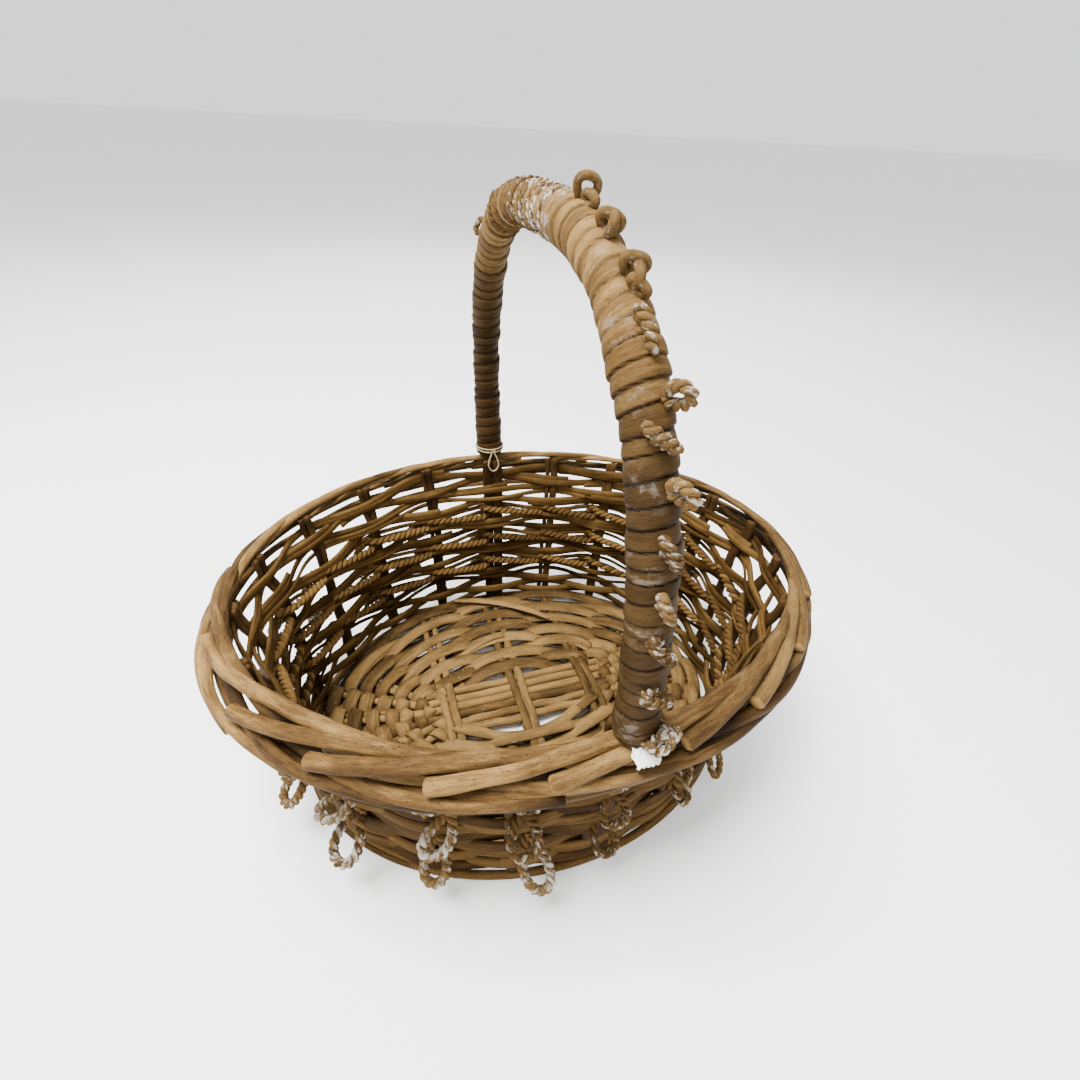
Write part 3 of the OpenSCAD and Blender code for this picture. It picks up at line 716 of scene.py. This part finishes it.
def rope_loops(k):
    """One loop just past each stake: the lower courses' loops are longer and stand out further, and those
    at the +X end are smaller and browner."""
    ropes = Bundle()
    depth, tilt = ((25, 42), (22, 42), (14, 16))[k - 1]
    for i in range(STAKES):
        place = (i + 0.15 + dice.normal() * 0.06) * TURN / STAKES
        small = 1 - 0.38 * smooth(1.4 * math.cos(place + 0.4))
        hanging_loop(ropes, place, rope_z[k - 1], (depth + dice.normal() * 2.2) * small * MM,
                     (16.5 + dice.normal() * 1.6) * (0.3 + 0.7 * small) * MM,
                     math.radians(tilt + dice.normal() * 6),
                     float(dice.uniform(0.3, 0.85)) * small, (1.5 + 1.35 * small) * MM)
    ropes.piece(f"rope_loops_{k}_cord", finishes["loop_rope"], "loop_rope", f"rope_loops_{k}")


# ---- border -------------------------------------------------------------------------------------

SLOPE = math.radians(47)
BAND = 22 * MM
# How a border rod crosses the sloping band, from its cut end on: share of its length, place across
# the band from the inner top edge (0) to the lower outer edge (1), and height over the band.
ROLL = ((0, 0.62, 0.9), (0.12, 0.3, 1), (0.25, 0.06, 0.5), (0.42, 0.12, 0), (0.55, 0.5, -0.6),
        (0.75, 0.9, 0), (1, 1, -0.5))


def border_rod(rods, start, span, bulge=0.0):
    """out = 4.2 mm + band·u·cos(slope) + h·sin(slope), and
    z = rim − 4.5 mm − band·u·sin(slope) + h·cos(slope), where u and h follow ROLL."""
    bend = curve(ROLL, 150)
    share, u, h = bend.T
    place = start + span * share
    u = u + 0.03 * dice.normal() + bulge * smooth((share - 0.45) / 0.3)
    girth = (0.80 - 0.2 * np.sin(place) - 0.07 * np.cos(place) ** 2
             - 0.17 * np.maximum(np.cos(place - 0.3), 0) ** 2)
    h = h * 4.1 * MM * girth
    out = 4.2 * MM + BAND * u * math.cos(SLOPE) + h * math.sin(SLOPE)
    z = RIM_Z - 4.5 * MM - BAND * u * math.sin(SLOPE) + h * math.cos(SLOPE)
    radius = dice.uniform(0.92, 1.06) * girth * (4.6 - 1.5 * share) * MM
    path = at_rim(place, out + wander(share * 5, 0.3 * MM), z)
    # Painted shade on each rod's underside, where it dips below the band under the rods beside it, and on the
    # +X end of the border, which is turned from the light.
    rods.rod(path, radius, radius * 0.94, sides=12, painted_shade_weights=(0, 0, 0.6),
             painted_shade_and_cut_end=0.85 * smooth(-h / (2.5 * MM)) + 0.48 * smooth(1.5 * np.cos(place + 0.35)))


def border():
    """One rod turned down from each stake, shared out over the three CAD strands."""
    bundles = [Bundle() for _ in range(3)]
    for i in range(STAKES):
        start = (i + 0.35 + dice.normal() * 0.08) * TURN / STAKES
        end_bulge = 0.22 * abs(math.cos(start + math.radians(70))) ** 6
        border_rod(bundles[i % 3], start, math.radians(95 + dice.normal() * 5), end_bulge)
    for k, rods in enumerate(bundles, 1):
        rods.piece(f"border_rods_{k}", finishes["border_rod"], "border_rod", f"border_plait_{k}")


def follow_rods():
    """Long smooth rods that run round below the band and lap each other."""
    rods = Bundle()
    radius = 3.4 * MM
    z = middle("border_follow_rod", 2)
    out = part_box("border_follow_rod")[1].x - 3.5 * MM - on_line(long_ends, RIM_Z) - RIM_INSET
    # Each rod: where it starts and how far it runs, how far down and inside it lies, and its bulge at +X.
    for start, span, down, inside, bulge in (
            (3.3, 4.2, 0.0, 0.0, 2.6), (0.6, 3.6, -0.6, 0.6, 0.0), (3.0, 3.8, 6.0, 3.2, 0.0),
            (5.9, 3.9, 6.4, 3.4, 0.0), (4.0, 2.6, -5.0, -1.2, 0.0)):
        place = start + np.linspace(0, span, 260)
        share = np.linspace(0, 1, 260)
        girth = (1.0 - 0.25 * share) * (0.84 - 0.16 * np.sin(place))
        drop = down * MM + wander(place, 0.9 * MM)
        arc = bulge * MM * smooth(2.4 * np.cos(place - 0.1) - 1.2)
        path = at_rim(place, out - inside * MM + arc + wander(place, 0.5 * MM), z - drop)
        # Painted shade on each rod's underside and on the +X end, which is turned from the light.
        rods.rod(path, radius * girth, sides=10, painted_shade_weights=(0, 0, 0.6),
                 painted_shade_and_cut_end=0.4 * smooth(1.5 * np.cos(place + 0.35)))
    rods.piece("border_lower_rods", finishes["border_rod"], "border_rod", "border_follow_rod")


# ---- handle -------------------------------------------------------------------------------------

HOOP_POWER = 2.74           # squareness of the hoop's outline, as 2 is for an ellipse
HOOP_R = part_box("handle_hoop")[1].x - LEG_X
CROWN_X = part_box("handle_hoop")[0].x + HOOP_R
CROWN_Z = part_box("handle_hoop")[1].z - HOOP_R
BIND_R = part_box("handle_binding")[1].x - LEG_X
CANE = 7.2 * MM             # distance from one turn of the binding to the next


def hoop(s):
    """The hoop's line: q = 90°·sgn(s)|s|^(p/2), y = b·sgn(s)|sin q|^(2/p), rise = cos(q)^(2/p)."""
    s = np.asarray(s, float)
    q = math.pi / 2 * np.sign(s) * np.abs(s) ** (HOOP_POWER / 2)
    rise = np.maximum(np.cos(q), 0) ** (2 / HOOP_POWER)
    across = np.sign(s) * np.abs(np.sin(q)) ** (2 / HOOP_POWER)
    return np.stack((LEG_X + (CROWN_X - LEG_X) * rise, LEG_Y * across,
                     RIM_Z + (CROWN_Z - RIM_Z) * rise), -1)


def hoop_frame(s):
    """Heading along the hoop, direction along +X square to it, and direction out of the hoop."""
    ahead = unit(hoop(np.minimum(s + 0.004, 1)) - hoop(np.maximum(s - 0.004, -1)))
    beside = unit(np.array((1.0, 0, 0)) - ahead * ahead[..., :1])
    return ahead, beside, np.cross(beside, ahead)


def on_hoop(s, angle, radius):
    """A point at `radius` from the hoop's line; angle 0 is +X and a quarter turn is out of the hoop."""
    ahead, beside, away = hoop_frame(s)
    radius = np.asarray(radius)[..., None]
    return hoop(s) + radius * (np.cos(angle)[..., None] * beside + np.sin(angle)[..., None] * away)


def hoop_core():
    """The bent rods inside the binding; only their lower ends show, below the border's top."""
    core = Bundle()
    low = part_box("handle_hoop")[0].z
    line = even(hoop(np.sin(np.linspace(-math.pi / 2, math.pi / 2, 900))), 5 * MM)
    line = np.vstack(((line[0, 0], line[0, 1], low), line, (line[-1, 0], line[-1, 1], low)))
    ahead = headings(line)
    beside = unit(np.array((1.0, 0, 0)) - ahead * ahead[:, :1])
    away = np.cross(beside, ahead)
    for k in range(5):
        angle = k * TURN / 5
        path = line + 0.55 * HOOP_R * (math.cos(angle) * beside + math.sin(angle) * away)
        core.rod(path, 0.43 * HOOP_R, up=(1, 0, 0), sides=10)
    core.piece("hoop_rods", finishes["stake"], "stake", "handle_hoop")


def binding():
    """Flat cane wound as a close helix. With turns = length/pitch + angle/2π, a turn's upper edge lies on
    the one before it: radius falls by about 0.55 mm over the turn, with a bulge of 0.3 mm, and drops by
    0.9 mm into a slit at its edge, where shade is painted dark. Painted shade darkens the cane from 0.42 of
    the way down each leg."""
    cane = Bundle()
    s = np.sin(np.linspace(-math.pi / 2, math.pi / 2, 1500))
    line = hoop(s)
    gone = lengths(line)
    rings = int(gone[-1] / (CANE / 13))
    at = np.linspace(0, gone[-1], rings)
    s = np.interp(at, gone, s)
    sides = 40
    angle = np.arange(sides) * TURN / sides
    jitter = np.interp(at, np.linspace(0, gone[-1], 60), dice.normal(size=60) * 0.16)
    turns = (at / CANE + jitter)[:, None] + angle / TURN
    index = np.floor(turns)
    share = turns - index
    strip = index - angle / TURN
    knots = np.arange(-3, int(turns.max()) + 4)
    lift = np.interp(strip, knots, dice.normal(size=len(knots)))
    gap = np.interp(strip, knots, dice.uniform(0.2, 1.0, len(knots)))
    slant = np.interp(strip, knots, dice.normal(size=len(knots)))
    edge = smooth(share / 0.10) * (1 - 0.55 * smooth((share - 0.93) / 0.07))
    crown = 0.3 * np.sin(math.pi * share)
    radius = BIND_R + MM * (-1.15 + 0.9 * edge - (0.55 + 0.3 * slant) * share + crown + 0.42 * lift)
    angles = np.broadcast_to(angle, turns.shape)
    ahead, beside, away = hoop_frame(s)
    points = hoop(s)[:, None] + radius[..., None] * (np.cos(angles)[..., None] * beside[:, None]
                                                      + np.sin(angles)[..., None] * away[:, None])
    tone = (np.sin(np.interp(strip, knots, dice.normal(size=len(knots)) * 2.2)) + 1) / 2
    # Painted shade in the slit at both edges of each turn, stronger in some turns than others.
    painted_shade_and_cut_end = gap * (1 - smooth(share / 0.09) + 0.75 * smooth((share - 0.95) / 0.05))
    # The cane's fibres run along the strip, so the grain's first axis goes round the hoop.
    grain = np.stack((-strip * TURN * BIND_R, share * CANE, 0 * share), -1)
    # Painted shade on the lower part of each leg, which stands in shade.
    painted_shade_and_cut_end = painted_shade_and_cut_end + 0.78 * smooth((np.abs(s[:, None]) - 0.42) / 0.32) * (1 - 0.1 * tone)
    chalk = 0.2 * smooth((np.sin(angles - 0.9) - 0.55) / 0.4) * smooth((-s[:, None] - 0.28) / 0.2)
    shade = np.stack((0.4 + 0.25 * tone, chalk * smooth((np.sin(strip * 1.7) + 0.5)), painted_shade_and_cut_end), -1)
    cane.grid(points, grain, shade)
    cane.piece("cane_binding", finishes["handle_cane"], "handle_cane", "handle_binding")


def leg_laths():
    """Two flat laths side by side under each foot of the hoop."""
    laths = Bundle()
    low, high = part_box("handle_leg_laths")
    for end in (-1, 1):
        for side in (-1, 1):
            z = np.linspace(low.z, high.z, 40)
            share = (z - low.z) / (high.z - low.z)
            y_low = on_line(wide_ends, low.z)
            y_high = max(abs(low.y), high.y) - 2.4 * MM
            path = np.stack((LEG_X + side * 4.05 * MM + wander(share * 4, 0.15 * MM),
                             end * (y_low + (y_high - y_low) * share), z), -1)
            laths.rod(path, 3.9 * MM, 2.2 * MM, up=(0, 1, 0), sides=12, square=0.6)
    laths.piece("leg_lath_pair", finishes["stake"], "stake", "handle_leg_laths")


def crown_rope():
    """Small rope wound closely round the binding beside the crown, chalky on its near half."""
    wound = Bundle()
    turns, pitch = 19, 4.4 * MM
    s = np.linspace(-0.13, 0.40, 2400)
    gone = lengths(hoop(s))
    angle = gone / gone[-1] * turns * TURN + 0.5 * np.sin(gone / gone[-1] * 9)
    radius = BIND_R - 1.4 * MM + 0.5 * MM * np.sin(angle * 0.37 + 1)
    path = on_hoop(s, angle, radius)
    chalk = 0.72 * smooth((0.22 - s) / 0.2)
    wound.rope(path, unit(path - hoop(s)), 1.75 * MM, 6.0 * MM, sides=5, chalk=chalk)
    # Two plain flat bands close the near end.
    for s0 in (-0.145, -0.165):
        a = np.linspace(0, 1.04 * TURN, 200)
        ring = on_hoop(np.full(200, s0) + 0.004 * np.sin(a), a, BIND_R - 0.5 * MM)
        wound.rod(ring, 2.1 * MM, 0.8 * MM, up=unit(ring - hoop(s0)), sides=8, tone=0.95, chalk=0.6)
    wound.piece("crown_rope", finishes["loop_rope"], "loop_rope", "handle_crown_rope")


def standing_ring(ropes, s, angle, height, width, chalk, radius, lean=0.0, turn=0.0, twisted=True):
    """A loop that stands off the binding: up = height·(1 − cos φ)/2, sideways = width/2·sin φ,
    where sideways is the hoop's heading turned by `turn` about the outward direction."""
    s, angle = np.array([s]), np.array([angle])
    ahead, beside, away = (v[0] for v in hoop_frame(s))
    out = math.cos(angle[0]) * beside + math.sin(angle[0]) * away
    round_it = -math.sin(angle[0]) * beside + math.cos(angle[0]) * away
    sideways = math.cos(turn) * ahead + math.sin(turn) * round_it
    facing = np.cross(out, sideways)
    out = unit(out + lean * facing)
    phi = np.linspace(0, TURN, 60)
    foot = on_hoop(s, angle, BIND_R - 1.2 * MM)[0]
    swing = width / 2 * np.sin(phi) * (1 - 0.25 * np.cos(phi)) + width * 0.12 * (phi / math.pi - 1)
    path = (foot + np.outer(height * (1 - np.cos(phi)) / 2, out) + np.outer(swing, sideways)
            + np.outer(0.7 * MM * (phi / math.pi - 1), facing))
    if twisted:
        ropes.rope(path, facing, radius, 2.9 * radius, chalk=chalk, begin=dice.uniform(0, TURN))
    else:
        ropes.rod(path, radius, up=facing, sides=10, tone=0.55, chalk=chalk)


def handle_loops():
    """Seven smooth rings in three groups beside the crown, and short rope bights down both legs."""
    ropes = Bundle()
    quarter = math.pi / 2
    # Each ring: place on the hoop, height, width, turn and radius.
    for s, height, width, turn, radius in (
            (-0.205, 8.5, 8, 1.3, 1.7), (-0.235, 4, 8, 0.2, 1.8), (-0.325, 5.5, 8, 1.0, 1.9),
            (-0.34, 6, 7.5, -0.4, 1.9), (-0.43, 7, 8, 1.3, 1.8), (-0.45, 6, 6.5, -0.1, 1.9),
            (-0.465, 4, 7, 0.7, 1.8)):
        standing_ring(ropes, s, quarter - 0.15, height * MM, width * MM, 0.15, radius * MM, 0.12, turn, False)
    # Each bight: place on the hoop, angle round it, height, width and turn.
    knots = ((-0.53, 0.0, 4.5, 15, 0.2), (-0.62, -0.35, 11, 7, 0.6), (-0.665, 0.1, 4.5, 13, 0.9),
             (-0.725, -0.2, 12, 8, 0.6), (-0.79, 0.0, 6.5, 12, 0.5), (-0.85, 0.05, 5.5, 11, 0.4),
             (-0.895, 0.1, 7, 13, 0.8), (-0.95, 0.0, 5.5, 13, 1.3))
    for s, angle, height, width, turn in knots:
        standing_ring(ropes, s, quarter + angle, height * MM, width * MM, 0.4, 2.3 * MM, 0.1, turn)
    for k, s in enumerate((0.415, 0.54, 0.62, 0.70, 0.78, 0.85, 0.91, 0.955)):
        height = (6 + 2.5 * math.sin(k * 2.1)) * MM
        standing_ring(ropes, s, quarter + 0.35 * math.sin(1.7 * k), height, 9 * MM, 0.3, 1.9 * MM, 0.1, 0.7)
    ropes.piece("handle_rope_loops", finishes["loop_rope"], "loop_rope", "handle_loops")


def foot_knot():
    """Rope laid round the outer side of the near foot just above the border, with two loops off it."""
    ropes = Bundle()
    low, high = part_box("handle_foot_knot")
    radius = (high.x - low.x) / 2 - 1.8 * MM
    a = np.linspace(-1.75, 0.5, 110)
    z = middle("handle_foot_knot", 2)
    path = np.stack((LEG_X + radius * np.cos(a), -LEG_Y + radius * np.sin(a),
                     z + 1.0 * MM * np.sin(2 * a)), -1)
    ropes.rope(path, (0, 0, 1), 2.1 * MM, 6.4 * MM, chalk=0.6)
    for angle, height, lean in ((-1.25, 6.5, 0.4), (-0.85, 6.0, -0.4)):
        phi = np.linspace(0, TURN, 50)
        out = np.array((math.cos(angle), math.sin(angle), 0.25))
        beside = np.array((-math.sin(angle), math.cos(angle), lean))
        foot = np.array((LEG_X, -LEG_Y, z)) + radius * out
        path = (foot + np.outer(height * MM * (1 - np.cos(phi)) / 2, out)
                + np.outer(5 * MM * np.sin(phi), beside))
        ropes.rope(path, np.cross(out, beside), 2.0 * MM, 6.2 * MM, chalk=0.6)
    ropes.piece("foot_knot_rope", finishes["loop_rope"], "loop_rope", "handle_foot_knot")


def tape_scrap():
    """A torn, cloudy scrap of sticky tape at the near foot: a thin sheet, dented and curled."""
    low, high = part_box("tape_scrap")
    low, high = np.array(low), np.array(high)
    f = Finish("cloudy_tape")
    cloud = f.noise(f.node("ShaderNodeTexCoord", out=3), 260.0, 4.0, 0.6)
    colour = f.blend(cloud.step(0.35, 0.7), (0.74, 0.72, 0.66), (0.9, 0.89, 0.86))
    plastic = f.close(colour, 0.22 + 0.3 * cloud, cloud, 0.3 * MM)
    u, v = np.meshgrid(np.linspace(0, 1, 16), np.linspace(0, 1, 14), indexing="ij")
    torn = 0.08 * np.sin(u * 17) * v + 0.05 * np.sin(u * 31 + 2)
    sheet = np.stack((low[0] + (high[0] - low[0]) * (u + 0.08 * np.sin(v * 9)),
                      low[1] + (high[1] - low[1]) * (v + torn),
                      high[2] - (high[2] - low[2]) * (1 - v) ** 0.7 + 0.4 * MM * np.sin(u * 7 + v * 5)), -1)
    # Both faces of the sheet as one closed ring of points.
    under = sheet[:, ::-1] - (0, 0, 0.35 * MM)
    scrap = Bundle()
    both = np.concatenate((sheet, under), 1)[::-1]
    scrap.grid(both, both, np.zeros_like(both))
    scrap.piece("tape_scrap_film", plastic, "clear_tape", "tape_scrap")


# ---- stage --------------------------------------------------------------------------------------

def stage():
    """Pale floor, a soft light overhead on the left, weak ones in front and behind, and a pale sky."""
    f = Finish("pale_floor")
    cloud = f.noise(f.node("ShaderNodeTexCoord", out=3), 3.0, 3.0)
    colour = f.blend(cloud, (0.86, 0.855, 0.85), (0.9, 0.9, 0.895))
    floor_material = f.close(colour, 0.85 + 0.1 * cloud, cloud, 0.1 * MM)
    size = 80.0
    mesh = bpy.data.meshes.new("floor")
    corners = [(-size, -size, 0), (size, -size, 0), (size, size, 0), (-size, size, 0)]
    mesh.from_pydata(corners, [], [(0, 1, 2, 3)])
    mesh.materials.append(floor_material)
    floor = bpy.data.objects.new("floor", mesh)
    bpy.context.scene.collection.objects.link(floor)
    for name, spot, watts, width in (("key_light", (-0.5, -0.05, 1.6), 112, 0.8),
                                     ("fill_light", (-0.3, -1.3, 1.1), 12, 1.2),
                                     ("back_light", (0.5, 1.4, 1.2), 14, 1.2)):
        lamp = bpy.data.lights.new(name, "AREA")
        lamp.energy, lamp.size = watts, width
        light = bpy.data.objects.new(name, lamp)
        light.location = spot
        light.rotation_euler = (Vector((0, 0, 0.1)) - Vector(spot)).to_track_quat("-Z", "Y").to_euler()
        bpy.context.scene.collection.objects.link(light)
    world = bpy.data.worlds.new("studio")
    world.use_nodes = True
    world.node_tree.nodes["Background"].inputs[0].default_value = (1, 1, 1, 1)
    world.node_tree.nodes["Background"].inputs[1].default_value = 1.4
    bpy.context.scene.world = world


aim_camera()
hanging_string()
string_on_leg()
floor_sticks()
floor_rows()
loose_strip()
foot_ring()
stakes()
for number in range(1, ROWS + 1):
    wall_row(number)
for number in range(1, ROPES + 1):
    rope_course(number)
    rope_loops(number)
border()
follow_rods()
hoop_core()
leg_laths()
binding()
crown_rope()
handle_loops()
foot_knot()
tape_scrap()
stage()
